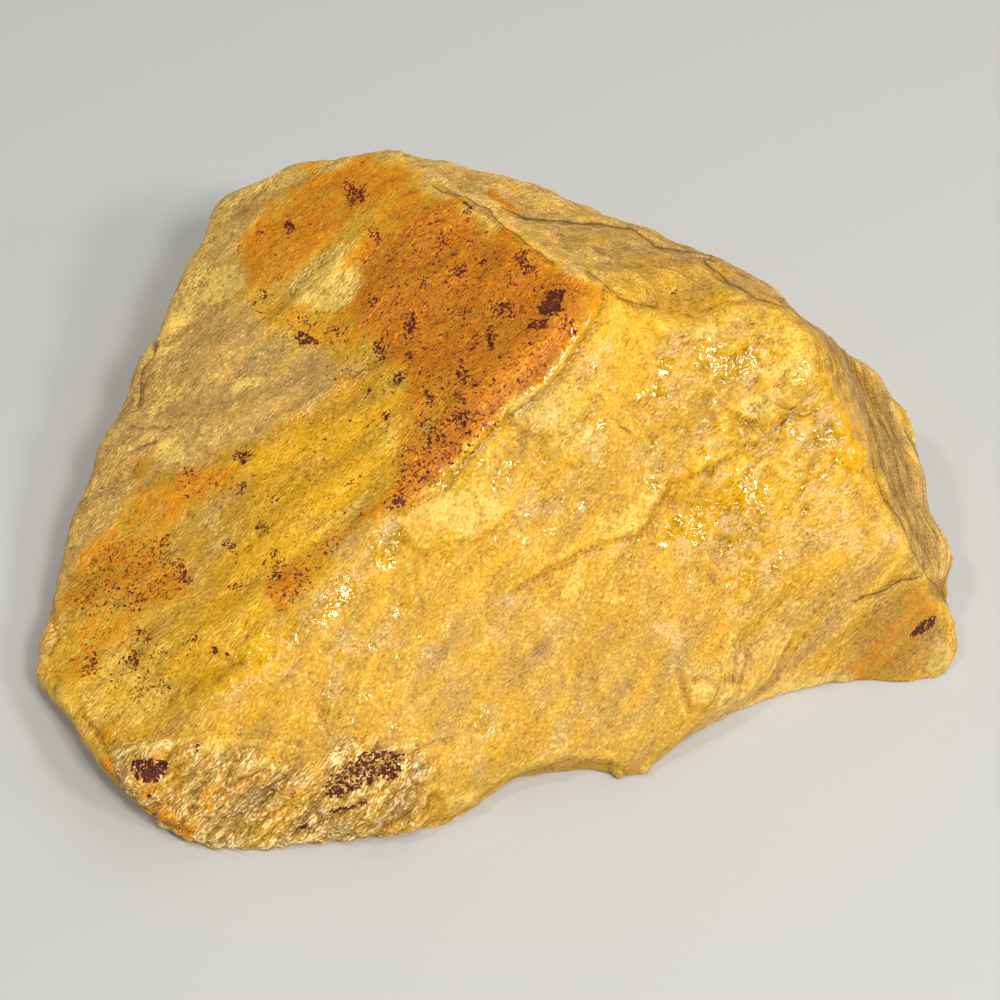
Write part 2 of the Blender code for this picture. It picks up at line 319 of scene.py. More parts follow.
TEXTURE = {
    "parting": (0.45, 6.0, [
        (200, 150), (430, 165), (600, 290), (510, 408), (404, 520), (276, 640), (170, 735), (60, 720),
        (10, 640), (90, 380),
    ]),
    "left rim": (0.70, 8.0, [
        (200, 150), (340, 150), (250, 240), (190, 330), (150, 450), (90, 600), (40, 700), (0, 640), (60, 380),
    ]),
    "back band": (0.55, 4.0, [(440, 150), (640, 200), (800, 300), (760, 320), (600, 285), (480, 215)]),
    "wet face": (0.42, 6.0, [
        (610, 290), (700, 280), (830, 340), (890, 430), (900, 560), (800, 640), (690, 680), (560, 600),
        (420, 640), (300, 740), (180, 730), (290, 640), (400, 530), (510, 410),
    ]),
    "low slope": (0.34, 8.0, [
        (300, 745), (420, 660), (400, 580), (560, 560), (700, 620), (830, 600), (900, 560), (950, 620),
        (900, 690), (650, 780), (450, 810),
    ]),
    "ridge lobe": (0.22, 2.0, [
        (402, 527), (416, 498), (440, 482), (480, 486), (506, 500), (506, 513), (490, 531), (460, 539),
        (423, 550),
    ]),
    "upper lobe": (0.24, 3.0, [
        (510, 408), (540, 385), (562, 372), (592, 396), (576, 420), (558, 433), (520, 428),
    ]),
    "stain lobe": (0.90, 1.5, STAIN_LOBE),
    "foot": (1.30, 3.0, FOOT_GROUND),
    "right band": (0.40, 3.0, RIGHT_BAND),
}
STRIATED = {
    "flank": (0.75, 5.0, [
        (700, 730), (720, 660), (780, 610), (850, 560), (905, 530), (945, 590), (975, 650), (940, 700),
        (850, 700),
    ]),
    "right band": (1.0, 2.0, RIGHT_BAND),
    "back band": (0.55, 3.0, [(440, 150), (640, 200), (800, 300), (760, 310), (600, 285), (480, 215)]),
    "foot": (1.0, 3.0, FOOT_GROUND),
}


def painted(ground, patches, x, y, seen):
    """Paint the patches over the ground level one by one, and return the level at each point."""
    level = ground
    for amount, softness, outline in patches.values():
        cover = smooth_step(inside_outline(outline, x, y), -softness / 2, softness / 2) * seen
        level = level + (amount - level) * cover
    return level


# The bed, which is the flat break that the lump rests on, has no relief but shallow wear.
BED_TURN = (0.85, 0.99)
BED_REACH = 1.0
BED_WEAR = 0.25


def roughened(x, y, seen):
    """Return how strong the texture is at each plate point, and how strongly the layers' edges show."""
    texture = painted(1.0 - 0.4 * seen, TEXTURE, x, y, seen)
    striated = painted(0.55 - 0.20 * seen, STRIATED, x, y, seen)
    return texture, striated


def cut_across_layers(outward):
    """Return how far the skin cuts across the layers, from 0 along them to 1 square to them."""
    return np.linalg.norm(np.cross(outward, np.array(LAYER_POLE)), axis=1)


skin, outward = read_skin()
fabric = skin @ FABRIC.T
plate_x, plate_y, seen = on_plate(skin, outward)
texture, striated = roughened(plate_x, plate_y, seen)
on_bed = smooth_step(-outward[:, 2], *BED_TURN) * (skin[:, 2] < BED_REACH)
edge_on = cut_across_layers(outward)

# Broad swells, then ribs and proud layers along the fabric, then sugary grain, knobs, striae and pits. Where
# there are three sizes, they run along the stretching, across it and through the layers.
SWELL_SIZE = 11.0
SWELL_HEIGHT = 0.30
RIB_SIZES = (9.0, 2.6, 1.4)
RIB_HEIGHT = 0.17
FINE_RIB_SIZES = (4.5, 1.5, 1.3)
FINE_RIB_HEIGHT = 0.10
FOLD_SIZES = (6.5, 2.5, 2.1)
FOLD_HEIGHT = 0.10
LAYER_THICKNESS = 2.4
LAYER_WANDER = 0.8
LAYER_WANDER_SIZE = 16.0
LAYER_RISER = (0.35, 0.65)
LAYER_HEIGHT = 0.30
SUGAR_SIZE = 1.5
SUGAR_HEIGHT = 0.07
COARSE_RIB_SIZES = (6.0, 2.0, 1.5)
COARSE_RIB_HEIGHT = 0.60
KNOB_SIZE = 3.0
KNOB_HEIGHT = 0.144
STRIA_SIZES = (15.0, 7.0, 1.7)
STRIA_HEIGHT = 0.26
PIT_SIZE = 2.4
PIT_RARITY = 0.62
PIT_DEPTH = 0.9
PATCH_SIZE = 9.0

ribbing = ripple(fabric, RIB_SIZES, (2.0, 5.0, 1.0))
fine_ribbing = ripple(fabric, FINE_RIB_SIZES, (7.0, 3.0, 9.0))
level_wander = ripple(skin, LAYER_WANDER_SIZE, (4.0, 8.0, 2.0))
layering = fabric[:, 2] / LAYER_THICKNESS + LAYER_WANDER * level_wander
layer_below = np.floor(layering)
riser = smooth_step(layering - layer_below, *LAYER_RISER)


def layer_pride(layers):
    """Return how far each layer stands proud, the same all along it."""
    return np.array([noise.noise((3.71 * layer, 7.3, 1.9)) for layer in layers.tolist()]) * NOISE_GAIN


pride = layer_pride(layer_below) * (1 - riser) + layer_pride(layer_below + 1) * riser
patchy = 0.6 + 0.4 * ripple(skin, PATCH_SIZE, (1.0, 6.0, 3.0))
coarse = painted(0.0, COARSE_RIBS, plate_x, plate_y, seen)
knobbly = painted(0.0, KNOBS, plate_x, plate_y, seen)
bold = 0.3 + 0.7 * texture

relief = SWELL_HEIGHT * ripple(skin, SWELL_SIZE, (3.0, 1.0, 4.0))
relief += RIB_HEIGHT * ribbing * (0.5 + 0.5 * edge_on) * patchy * bold
relief += FINE_RIB_HEIGHT * fine_ribbing * bold
relief += FOLD_HEIGHT * np.abs(ripple(fabric, FOLD_SIZES, (4.0, 9.0, 3.0))) * (0.6 + 0.4 * patchy) * bold
relief += LAYER_HEIGHT * pride * edge_on ** 2 * patchy
relief += SUGAR_HEIGHT * ripple(skin, SUGAR_SIZE, (5.0, 5.0, 5.0)) * bold
relief += COARSE_RIB_HEIGHT * coarse * np.abs(ripple(fabric, COARSE_RIB_SIZES, (8.0, 2.0, 6.0)))
knob = 1 - 2 * np.abs(ripple(skin, KNOB_SIZE, (6.0, 7.0, 8.0)))
relief += KNOB_HEIGHT * knobbly * knob
relief += STRIA_HEIGHT * striated * edge_on ** 2 * ripple(fabric, STRIA_SIZES, (2.0, 3.0, 7.0))
pits = np.maximum(ripple(skin, PIT_SIZE, (9.0, 4.0, 7.0)) - PIT_RARITY, 0.0)
relief -= PIT_DEPTH * pits * texture
for height, reach, path in LEDGES.values():
    away, side = beside_path(path, plate_x, plate_y)
    relief += 0.5 * height * side * np.tanh(away / LEDGE_WEAR) * np.exp(-(away / reach) ** 2) * seen
for depth, darkness, path in CRACKS.values():
    away, side = beside_path(path, plate_x, plate_y)
    relief -= GROOVE_SHARE * depth * np.exp(-(away / GROOVE_HALF_WIDTH) ** 2) * seen
for x, y, radius, height in LUMPS.values():
    away = np.hypot(plate_x - x, plate_y - y) * UNIT_MM
    relief += height * np.clip(1 - (away / radius) ** 2, 0.0, 1.0) ** 2 * seen
relief = relief * (1 - on_bed) - BED_WEAR * on_bed * np.abs(ribbing)

skin = skin + outward * relief[:, None]
skin[:, 2] = np.maximum(skin[:, 2], 0.0)
write_skin(skin)

# The bed is flat, so it needs fewer faces than the rest.
BED_HEIGHT = 0.35
BED_FALL = -0.9
BED_SHARE = 0.25

for face in stone.data.polygons:
    face.select = face.center.z < BED_HEIGHT * MM and face.normal.z < BED_FALL
bpy.ops.object.mode_set(mode="EDIT")
bpy.ops.mesh.select_mode(type="FACE")
bpy.ops.mesh.decimate(ratio=BED_SHARE)
bpy.ops.object.mode_set(mode="OBJECT")
bpy.ops.object.shade_smooth()

# Stains as (level, softness, outline) on the plate, painted in this order over what the whole lump has.
RUST = {
    "upper stain": (0.72, 4.0, [
        (240, 290), (236, 262), (250, 236), (272, 206), (300, 177), (332, 163), (368, 160), (400, 172),
        (424, 182), (440, 196), (420, 212), (392, 222), (372, 228), (352, 236), (335, 243), (322, 256),
        (308, 268), (296, 284), (270, 300),
    ]),
    "upper gap": (0.30, 3.0, [
        (345, 222), (372, 206), (398, 188), (408, 190), (398, 205), (376, 222), (352, 236),
    ]),
    "west wash": (0.42, 5.0, [
        (250, 300), (300, 300), (340, 300), (360, 262), (372, 236), (392, 250), (400, 330), (392, 356),
        (365, 368), (330, 350), (296, 338), (262, 326),
    ]),
    "main stain": (0.95, 4.5, [
        (372, 236), (402, 214), (440, 196), (466, 214), (474, 226), (500, 233), (520, 250), (548, 262),
        (580, 275), (598, 292), (593, 318), (575, 342), (560, 366), (543, 384), (511, 406), (487, 427),
        (465, 452), (437, 484), (414, 500), (390, 516), (380, 500), (400, 468), (408, 440), (420, 408),
        (412, 388), (396, 366), (382, 345), (362, 330), (350, 308), (352, 288), (362, 262),
    ]),
    "top rim clear": (0.0, 1.6, [
        (430, 186), (446, 196), (466, 210), (476, 223), (502, 230), (522, 247), (550, 259), (582, 272),
        (606, 288), (660, 270), (570, 190), (480, 150), (420, 160),
    ]),
    "wet face clear": (0.0, 1.0, [
        (600, 286), (592, 316), (573, 342), (558, 366), (541, 384), (509, 405), (485, 426), (463, 451),
        (435, 483), (412, 500), (388, 516), (362, 532), (336, 556), (302, 592), (274, 614), (240, 650),
        (300, 760), (700, 700), (800, 400), (680, 270),
    ]),
    "apex glow": (0.45, 3.0, [(560, 362), (578, 330), (590, 300), (604, 300), (600, 330), (580, 356)]),
    "main low": (0.62, 4.0, [
        (412, 388), (440, 380), (455, 400), (440, 430), (420, 450), (402, 470), (398, 440), (408, 410),
    ]),
    "ridge strip": (0.60, 2.6, [
        (404, 492), (390, 516), (362, 532), (336, 556), (302, 592), (276, 613), (256, 594), (266, 570),
        (308, 554), (332, 536), (362, 508), (385, 492),
    ]),
    "left patch": (0.56, 6.0, [
        (138, 468), (150, 462), (173, 466), (209, 460), (246, 474), (243, 494), (224, 503), (206, 519),
        (173, 525), (150, 531), (128, 522), (132, 498), (143, 482),
    ]),
    "left low patch": (0.60, 6.0, [
        (74, 552), (114, 535), (146, 524), (168, 545), (166, 562), (190, 568), (186, 594), (158, 600),
        (132, 604), (96, 618), (66, 602), (64, 570),
    ]),
    "left fade": (0.36, 5.0, [
        (62, 640), (70, 620), (110, 612), (140, 606), (130, 640), (100, 668), (62, 676),
    ]),
    "tip stain": (0.45, 4.0, [(52, 664), (78, 660), (104, 664), (100, 684), (80, 690), (60, 684)]),
    "back spot": (0.95, 1.0, [(490, 180), (500, 183), (508, 196), (512, 208), (502, 206), (493, 196)]),
    "hump orange": (0.24, 3.5, [
        (790, 405), (830, 400), (868, 412), (872, 440), (850, 470), (800, 458), (772, 440),
    ]),
    "recess orange": (0.20, 3.0, [
        (655, 500), (690, 486), (760, 480), (790, 500), (740, 550), (680, 556), (650, 530),
    ]),
    "spur stain": (0.50, 5.0, [
        (866, 640), (880, 612), (905, 585), (928, 580), (944, 602), (952, 628), (934, 640), (920, 668),
        (900, 684), (868, 682), (846, 684), (858, 660),
    ]),
    "foot wash": (0.30, 3.0, [
        (120, 752), (150, 745), (250, 752), (300, 770), (290, 800), (220, 830), (150, 812),
    ]),
    "foot strip": (0.62, 1.5, [
        (92, 730), (106, 742), (118, 776), (146, 806), (196, 832), (190, 846), (130, 800), (98, 762),
    ]),
}
HONEY = {
    "parting": (0.78, 4.0, [
        (240, 300), (400, 340), (440, 440), (380, 520), (300, 600), (200, 700), (120, 740), (60, 690),
        (70, 640), (160, 610), (240, 560), (250, 480), (330, 400),
    ]),
    "left rim": (0.10, 5.0, [
        (222, 170), (300, 152), (345, 150), (300, 178), (262, 215), (240, 262), (238, 300), (262, 332),
        (300, 345), (352, 372), (330, 392), (262, 420), (222, 452), (200, 466), (140, 468), (126, 505),
        (112, 540), (74, 556), (56, 620), (30, 680), (10, 640), (30, 520), (90, 380), (150, 250),
    ]),
    "top rim": (0.22, 2.5, [
        (300, 145), (400, 145), (480, 168), (520, 200), (560, 240), (606, 276), (596, 288), (548, 262),
        (500, 233), (462, 208), (424, 182), (368, 160), (332, 163),
    ]),
    "back band": (0.24, 4.0, [
        (440, 158), (530, 172), (650, 215), (760, 262), (812, 300), (788, 312), (750, 300), (690, 292),
        (640, 290), (604, 280), (560, 250), (520, 215), (475, 185),
    ]),
    "saddle": (0.72, 4.0, [(606, 268), (650, 262), (700, 272), (740, 290), (700, 306), (640, 304)]),
    "right band": (0.12, 3.0, [
        (792, 300), (850, 345), (900, 400), (955, 500), (960, 580), (940, 592), (924, 566), (895, 525),
        (880, 475), (866, 430), (845, 392), (815, 345),
    ]),
    "band orange": (0.45, 3.0, [(800, 318), (850, 350), (886, 402), (892, 430), (866, 408), (826, 362)]),
    "tan hollow": (0.50, 4.0, [(160, 530), (215, 515), (250, 540), (245, 590), (200, 605), (170, 590)]),
    "golden band": (1.05, 5.0, [
        (300, 420), (400, 400), (395, 460), (340, 530), (262, 580), (270, 640), (215, 715), (165, 700),
        (190, 640), (215, 590), (250, 520), (250, 470),
    ]),
    "apex": (1.0, 5.0, [
        (588, 290), (620, 292), (655, 310), (660, 360), (640, 420), (600, 440), (560, 400), (566, 360),
        (590, 330),
    ]),
    "hump low": (0.95, 6.0, [
        (660, 470), (720, 430), (820, 430), (870, 470), (860, 520), (800, 570), (720, 590), (660, 560),
    ]),
    "hump": (0.78, 5.0, [
        (680, 290), (760, 300), (830, 350), (870, 410), (840, 400), (780, 390), (720, 380), (670, 340),
    ]),
    "low slope": (0.58, 6.0, [
        (400, 640), (560, 600), (680, 640), (720, 700), (650, 765), (520, 790), (420, 770),
    ]),
    "flank": (0.42, 6.0, [
        (720, 660), (780, 610), (860, 560), (905, 555), (880, 610), (850, 650), (760, 690), (700, 715),
    ]),
    "flank foot": (0.12, 2.0, [
        (640, 770), (700, 722), (760, 685), (842, 668), (870, 688), (830, 700), (730, 736), (660, 780),
    ]),
    "spur tip": (0.20, 1.5, [(930, 640), (946, 626), (962, 640), (960, 668), (925, 676)]),
    "foot": (0.42, 2.5, FOOT_GROUND),
}
PALE = {
    "stain lobe": (0.85, 2.0, STAIN_LOBE),
    "ridge lobe": (0.60, 3.0, [
        (402, 527), (404, 512), (416, 498), (440, 482), (480, 486), (506, 500), (506, 513), (490, 531),
        (460, 539), (434, 545), (423, 550), (411, 543),
    ]),
    "upper lobe": (0.66, 4.0, [
        (510, 408), (540, 385), (562, 372), (582, 378), (592, 396), (576, 420), (558, 433), (538, 430),
        (520, 428),
    ]),
    "mid lobe": (0.45, 4.0, [(545, 425), (590, 410), (622, 436), (620, 452), (580, 458), (540, 446)]),
    "ledge lobe": (0.50, 3.0, [
        (575, 552), (598, 518), (640, 497), (662, 495), (652, 515), (640, 531), (612, 538),
    ]),
    "blotch": (0.70, 1.8, [(566, 598), (568, 578), (578, 563), (590, 566), (590, 588), (578, 604)]),
    "small blotch": (0.60, 0.8, [(608, 602), (609, 588), (619, 585), (620, 598)]),
    "nodule": (0.62, 2.0, [
        (738, 414), (748, 398), (772, 388), (790, 392), (788, 408), (768, 422), (748, 424),
    ]),
    "hump plate": (0.65, 1.5, [(676, 340), (682, 328), (700, 322), (718, 326), (708, 338), (690, 344)]),
    "hump crown": (0.45, 3.0, [(740, 330), (790, 318), (822, 350), (828, 380), (790, 388), (752, 372)]),
    "pebble": (0.60, 0.6, [(651, 325), (656, 318), (664, 320), (664, 330), (655, 332)]),
    "flank lumps": (0.50, 3.0, [(686, 700), (686, 682), (710, 676), (744, 682), (742, 696), (712, 712)]),
    "flank haze": (0.40, 4.0, [(700, 650), (780, 600), (850, 570), (860, 600), (800, 640), (730, 680)]),
    "ridge band": (0.60, 1.5, [(318, 516), (345, 499), (372, 486), (366, 505), (340, 523), (322, 527)]),
    "parting band": (0.50, 2.0, [(362, 470), (370, 450), (390, 431), (408, 424), (402, 448), (385, 466)]),
    "rim crest blotch": (0.95, 2.0, [
        (196, 300), (206, 274), (222, 264), (238, 270), (242, 290), (232, 306), (210, 308),
    ]),
    "rim side blotch": (0.85, 2.0, [(166, 340), (172, 322), (184, 317), (187, 330), (178, 344)]),
    "rim low blotch": (0.60, 4.0, [(144, 404), (150, 380), (180, 376), (200, 390), (182, 412), (154, 416)]),
    "tip haze": (0.42, 8.0, [
        (70, 646), (110, 628), (170, 640), (200, 664), (186, 704), (146, 736), (104, 736), (74, 700),
    ]),
    "rim streak": (0.85, 2.0, [(230, 388), (262, 370), (276, 372), (262, 386), (236, 398)]),
    "rim blotch": (0.90, 1.2, [(228, 416), (236, 406), (246, 408), (242, 416)]),
    "rim patch": (0.75, 2.0, [(156, 462), (160, 446), (182, 440), (186, 456), (170, 466)]),
    "low tan": (0.40, 3.0, [
        (174, 552), (176, 524), (224, 520), (250, 500), (262, 510), (238, 540), (210, 556),
    ]),
    "rim chamfer": (0.55, 2.5, [
        (196, 232), (226, 186), (290, 158), (350, 148), (340, 162), (290, 176), (246, 205), (216, 250),
        (190, 320), (160, 360), (146, 372), (150, 345), (176, 285),
    ]),
    "foot lip": (0.60, 1.2, [(122, 752), (140, 740), (174, 736), (178, 744), (150, 752), (130, 758)]),
    "toe rim": (0.65, 1.0, [
        (640, 772), (700, 724), (760, 690), (842, 672), (866, 686), (822, 694), (730, 732), (660, 778),
    ]),
    "spur tip": (0.85, 1.2, [(932, 648), (944, 630), (962, 640), (960, 668), (928, 672)]),
    "toe flake": (0.60, 0.8, [(452, 806), (458, 796), (490, 792), (490, 802), (462, 812)]),
}
SPECKS = {
    "main stain": (0.66, 3.0, [
        (372, 236), (440, 205), (500, 240), (590, 285), (580, 340), (510, 405), (440, 480), (400, 500),
        (392, 440), (400, 380), (350, 320), (350, 280),
    ]),
    "upper stain": (0.42, 3.0, [
        (244, 285), (244, 250), (275, 208), (335, 170), (400, 175), (430, 192), (380, 225), (330, 245),
        (290, 290),
    ]),
    "west wash": (0.56, 4.0, [
        (250, 300), (340, 305), (385, 350), (420, 400), (400, 470), (340, 400), (300, 360), (262, 330),
    ]),
    "ochre": (0.42, 5.0, [(300, 400), (400, 420), (390, 500), (300, 560), (240, 590), (230, 480)]),
    "ridge corner": (0.86, 2.0, [
        (412, 432), (440, 406), (492, 404), (500, 418), (470, 447), (440, 478), (414, 498), (392, 508),
        (386, 484), (398, 455),
    ]),
    "ridge strip": (0.72, 1.5, [
        (404, 492), (362, 532), (302, 592), (276, 612), (256, 594), (266, 570), (332, 536), (385, 492),
    ]),
    "left patch": (0.66, 2.0, [(160, 470), (200, 466), (246, 478), (240, 494), (206, 510), (170, 500)]),
    "left low patch": (0.76, 2.0, [
        (110, 545), (146, 526), (168, 545), (190, 570), (184, 594), (130, 610), (90, 624), (70, 600),
        (84, 570),
    ]),
    "left tip": (0.56, 3.0, [
        (60, 640), (110, 620), (180, 630), (200, 650), (160, 694), (100, 690), (60, 670),
    ]),
}

# Clusters of specks in each place as (x, y, radius, strength), where dark iron grains crowd together.
SPECK_CLUSTERS = {
    "upper stain": [(354, 192, 2.0, 1.0), (289, 225, 1.1, 1.1), (263, 234, 1.0, 0.9), (244, 246, 0.7, 0.8)],
    "main stain": [
        (467, 216, 1.2, 0.9), (439, 242, 1.8, 0.85), (373, 234, 1.5, 0.8), (481, 259, 1.1, 1.1),
        (457, 275, 1.6, 0.95), (424, 283, 1.6, 0.8), (530, 268, 1.8, 0.95), (568, 329, 1.9, 1.0),
        (534, 324, 1.7, 1.1), (501, 311, 1.9, 0.9), (462, 311, 1.3, 0.85), (373, 308, 1.6, 0.9),
        (407, 320, 1.7, 1.0), (309, 339, 1.4, 1.1), (373, 344, 1.8, 0.95), (337, 329, 2.2, 0.7),
        (490, 336, 1.5, 0.95), (470, 343, 1.2, 0.85), (407, 356, 0.8, 1.0), (399, 379, 1.7, 0.95),
        (466, 375, 2.0, 0.9), (462, 398, 1.6, 0.8), (518, 373, 1.1, 0.9), (500, 385, 1.4, 0.75),
    ],
    "ochre": [(368, 393, 1.1, 0.9), (433, 395, 1.5, 0.85), (393, 417, 1.1, 1.1), (424, 419, 1.6, 0.85)],
    "ridge corner": [(462, 421, 2.4, 1.0), (436, 440, 2.2, 0.95), (400, 495, 1.7, 1.0)],
    "west wash": [(263, 303, 1.8, 0.75), (309, 313, 1.4, 0.75), (257, 313, 1.2, 0.7)],
    "left patch": [
        (242, 456, 1.9, 1.0), (238, 463, 0.9, 1.15), (180, 472, 1.5, 0.9), (240, 489, 1.5, 0.85),
    ],
    "golden band": [
        (275, 500, 1.3, 0.85), (354, 482, 1.0, 0.8), (260, 531, 1.2, 0.8), (235, 549, 1.3, 0.85),
        (270, 554, 1.2, 0.85), (238, 578, 1.4, 0.9), (277, 573, 1.8, 0.85),
    ],
    "left low patch": [(181, 573, 2.2, 0.85), (160, 545, 2.2, 0.8)],
    "left tip": [
        (92, 671, 2.4, 0.85), (130, 659, 1.5, 0.8), (136, 690, 1.2, 0.8), (164, 687, 1.6, 0.8),
        (133, 636, 1.5, 0.85), (164, 647, 1.1, 0.75), (188, 636, 1.4, 0.7), (213, 650, 0.9, 1.15),
        (232, 650, 0.7, 1.1),
    ],
    "foot": [(196, 744, 1.1, 0.95), (268, 751, 0.8, 0.85), (151, 794, 0.8, 1.1), (288, 793, 0.8, 0.9)],
    "back": [(783, 301, 1.2, 0.8), (670, 288, 0.6, 1.1)],
}

# Dark mineral crusts as (level, softness, outline).
CRUSTS = {
    "big blot": (1.0, 0.8, [
        (549, 291), (561, 286), (568, 292), (563, 303), (565, 314), (552, 320), (538, 314), (535, 306),
        (544, 301),
    ]),
    "blot tail": (0.85, 0.8, [(524, 331), (526, 323), (538, 315), (544, 319), (536, 327)]),
    "foot crust": (0.95, 0.7, [
        (133, 760), (150, 757), (165, 762), (169, 772), (160, 780), (146, 784), (137, 779), (131, 768),
    ]),
    "foot net": (0.80, 1.0, [
        (356, 753), (374, 748), (405, 750), (403, 764), (397, 780), (374, 784), (352, 794), (327, 797),
        (321, 783), (333, 772), (349, 763),
    ]),
    "foot net streak": (0.80, 0.7, [(325, 812), (340, 804), (365, 800), (366, 806), (345, 812)]),
    "foot net dash": (0.70, 0.6, [(294, 830), (302, 824), (318, 825), (316, 831)]),
    "foot net fleck": (0.70, 0.6, [(288, 816), (294, 811), (307, 812), (302, 817)]),
    "spur crust": (1.0, 0.7, [
        (907, 641), (911, 629), (922, 621), (939, 614), (942, 618), (935, 628), (925, 635), (914, 641),
    ]),
}

# The film of water as (level, softness, outline).
WATER = {
    "wet face": (0.42, 6.0, [
        (600, 290), (700, 280), (830, 340), (885, 420), (890, 520), (900, 580), (800, 640), (700, 700),
        (600, 770), (450, 780), (300, 745), (170, 735), (270, 640), (370, 545), (430, 490), (510, 405),
        (575, 345),
    ]),
    "ridge": (0.80, 2.0, [
        (606, 300), (600, 330), (588, 352), (572, 372), (528, 412), (486, 448), (452, 490), (414, 536),
        (384, 564), (345, 606), (290, 656), (212, 712), (172, 732), (158, 716), (190, 688), (250, 636),
        (292, 596), (336, 558), (364, 534), (390, 514), (414, 500), (437, 484), (465, 452), (487, 427),
        (511, 406), (543, 386), (560, 367), (575, 343), (594, 316), (598, 296),
    ]),
    "hump": (0.62, 5.0, HUMP_GROUND),
    "boulder": (1.0, 2.0, [
        (800, 395), (850, 380), (868, 410), (866, 450), (855, 475), (828, 470), (820, 445), (798, 440),
    ]),
    "dry lobes": (0.15, 2.0, [(404, 512), (440, 482), (506, 500), (500, 525), (434, 545), (411, 543)]),
    "dry slope": (0.22, 8.0, [
        (460, 600), (640, 580), (760, 620), (700, 700), (600, 760), (470, 780), (430, 700),
    ]),
}

# Clusters of drops in each place as (x, y, radius, strength), where the film draws up into beads.
DROPS = {
    "hump top": [
        (729, 305, 2.5, 1.0), (695, 314, 2.4, 0.95), (727, 356, 4.2, 1.0), (706, 344, 2.2, 0.9),
        (671, 374, 2.1, 0.95), (659, 398, 1.5, 0.95),
    ],
    "hump crown": [
        (767, 348, 1.6, 0.95), (805, 372, 3.0, 0.75), (778, 389, 1.1, 0.95), (731, 434, 2.0, 1.0),
        (752, 430, 1.5, 0.8), (794, 427, 2.2, 0.95),
    ],
    "boulder": [(828, 432, 2.5, 1.1), (851, 414, 2.8, 1.1), (863, 441, 1.6, 1.0), (851, 461, 2.9, 1.1)],
    "hump foot": [
        (741, 473, 2.6, 1.0), (746, 499, 2.8, 1.05), (717, 497, 2.1, 1.0), (698, 502, 1.4, 0.9),
        (683, 521, 2.6, 1.05), (647, 485, 2.0, 1.05), (650, 445, 1.1, 1.0), (796, 475, 1.1, 1.05),
        (822, 484, 0.9, 1.0), (770, 501, 1.4, 1.0), (764, 516, 1.0, 0.9), (707, 466, 1.4, 0.9),
        (668, 536, 1.1, 1.0),
    ],
    "low pools": [(742, 576, 1.2, 1.05), (783, 602, 1.2, 1.1), (722, 549, 1.2, 0.9)],
    "wet face": [(500, 478, 1.8, 0.8), (533, 455, 1.0, 0.9), (513, 458, 1.0, 0.9), (552, 536, 1.0, 0.8)],
    "ridge": [
        (583, 334, 2.1, 1.1), (571, 349, 1.9, 1.1), (505, 413, 1.1, 1.1), (498, 421, 1.2, 1.1),
        (452, 478, 3.0, 1.0), (440, 488, 1.8, 0.9),
    ],
    "low ridge": [
        (402, 534, 1.9, 0.9), (384, 556, 2.8, 1.0), (344, 598, 2.5, 0.9), (322, 612, 2.0, 1.0),
        (292, 628, 2.2, 0.95), (264, 652, 2.8, 1.0), (236, 676, 1.8, 0.85), (205, 706, 2.5, 0.95),
        (181, 722, 1.9, 0.9),
    ],
    "slope": [(486, 718, 2.8, 0.95), (408, 602, 1.2, 0.9), (425, 596, 1.0, 0.8)],
}
STRAY_SIZE = 1.9

# Rows of drops as (half width, strength, path): along the ridge, and in the boulder's slit and rim.
DROP_ROWS = {
    "ridge": (1.1, 1.0, [
        (600, 300), (592, 318), (575, 342), (563, 362), (546, 382), (530, 396), (511, 408), (498, 420),
        (486, 432), (470, 450), (456, 468), (440, 484),
    ]),
    "boulder slit": (0.6, 1.0, [(812, 408), (826, 399), (842, 391)]),
    "boulder rim": (0.8, 1.0, [
        (814, 434), (824, 428), (836, 434), (848, 424), (860, 416), (864, 436), (858, 452), (846, 464),
    ]),
}

# Browner, darker places as (level, softness, outline). On the saddle, the right band, the flank and the spur
# this is painted shade on the sides turned from the light; elsewhere it makes the stone browner and duller.
BROWNED_AND_SHADED = {
    "left edge": (0.15, 6.0, [
        (200, 190), (260, 170), (240, 300), (160, 460), (90, 560), (50, 640), (20, 600), (100, 400),
    ]),
    "saddle": (0.40, 5.0, [(606, 268), (650, 255), (720, 262), (760, 290), (700, 312), (640, 308)]),
    "back seams": (0.45, 3.0, [
        (500, 205), (560, 215), (640, 228), (720, 256), (790, 300), (760, 300), (690, 272), (620, 262),
        (560, 240),
    ]),
    "right band up": (1.0, 3.0, [
        (790, 296), (815, 318), (860, 356), (886, 396), (905, 452), (925, 530), (938, 590), (918, 578),
        (900, 540), (880, 490), (868, 440), (850, 392), (820, 345),
    ]),
    "right leaf": (0.5, 3.0, [(905, 440), (930, 470), (950, 530), (945, 570), (930, 560), (912, 500)]),
    "flank": (0.30, 6.0, [
        (700, 690), (760, 640), (840, 600), (900, 560), (930, 575), (900, 640), (840, 690),
    ]),
    "spur": (0.75, 5.0, [(850, 640), (880, 600), (925, 560), (950, 600), (965, 650), (930, 690), (850, 694)]),
    "hump low": (0.20, 7.0, [
        (660, 500), (720, 470), (800, 470), (880, 480), (860, 540), (760, 600), (690, 570),
    ]),
    "hump left": (0.20, 6.0, [(650, 360), (720, 340), (760, 380), (740, 440), (680, 460)]),
    "foot right": (0.50, 4.0, [(340, 790), (380, 780), (430, 760), (470, 790), (420, 830), (340, 840)]),
    "toe": (0.30, 5.0, [
        (430, 780), (520, 750), (620, 742), (700, 695), (860, 668), (850, 705), (640, 790), (430, 850),
    ]),
    "foot middle": (0.25, 4.0, [(230, 770), (320, 770), (340, 830), (240, 840)]),
    "slope": (0.15, 9.0, [(560, 620), (700, 600), (760, 640), (690, 700), (600, 740), (540, 700)]),
}

